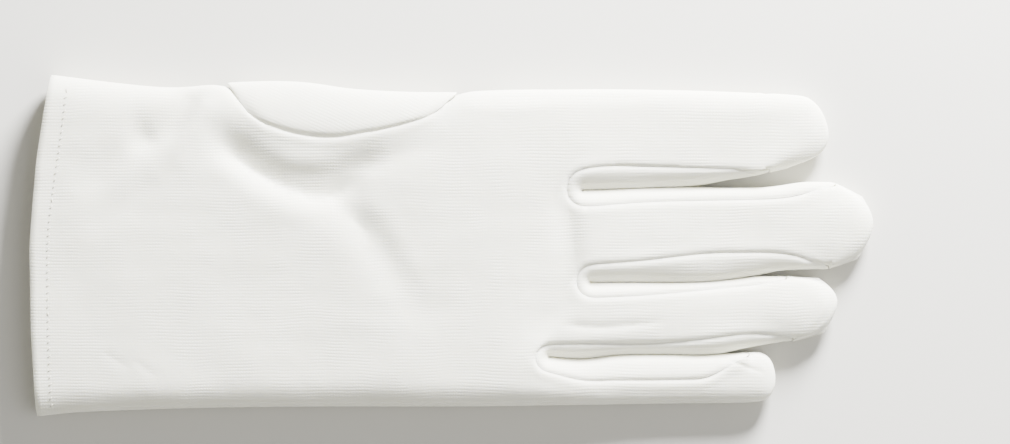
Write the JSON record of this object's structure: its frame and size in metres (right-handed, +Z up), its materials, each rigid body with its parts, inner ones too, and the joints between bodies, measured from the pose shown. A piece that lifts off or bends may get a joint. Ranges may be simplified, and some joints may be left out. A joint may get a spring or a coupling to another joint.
{
  "type": "dress glove",
  "caption": "White knitted cotton dress glove for the left hand, lying palm up with its thumb folded flat beneath it and open at the wrist.",
  "frame": {"origin": "on the floor under the middle of the glove's outline", "axes": "+X from the wrist edge to the fingertips, +Y to the thumb side, +Z up out of the palm"},
  "size_m": [0.2678, 0.109, 0.0127],
  "materials": {
    "palm_panel": "matte",
    "back_panel": "matte",
    "fourchette_index_middle": "matte",
    "fourchette_middle_ring": "matte",
    "fourchette_ring_little": "matte",
    "thumb": "matte",
    "cuff_hem": "matte"
  },
  "bodies": {
    "root": {"palm_panel": "palm_panel", "back_panel": "back_panel", "fourchette_index_middle": "fourchette_index_middle", "fourchette_middle_ring": "fourchette_middle_ring", "fourchette_ring_little": "fourchette_ring_little", "thumb": "thumb", "cuff_hem": "cuff_hem"}
  },
  "joints": []
}
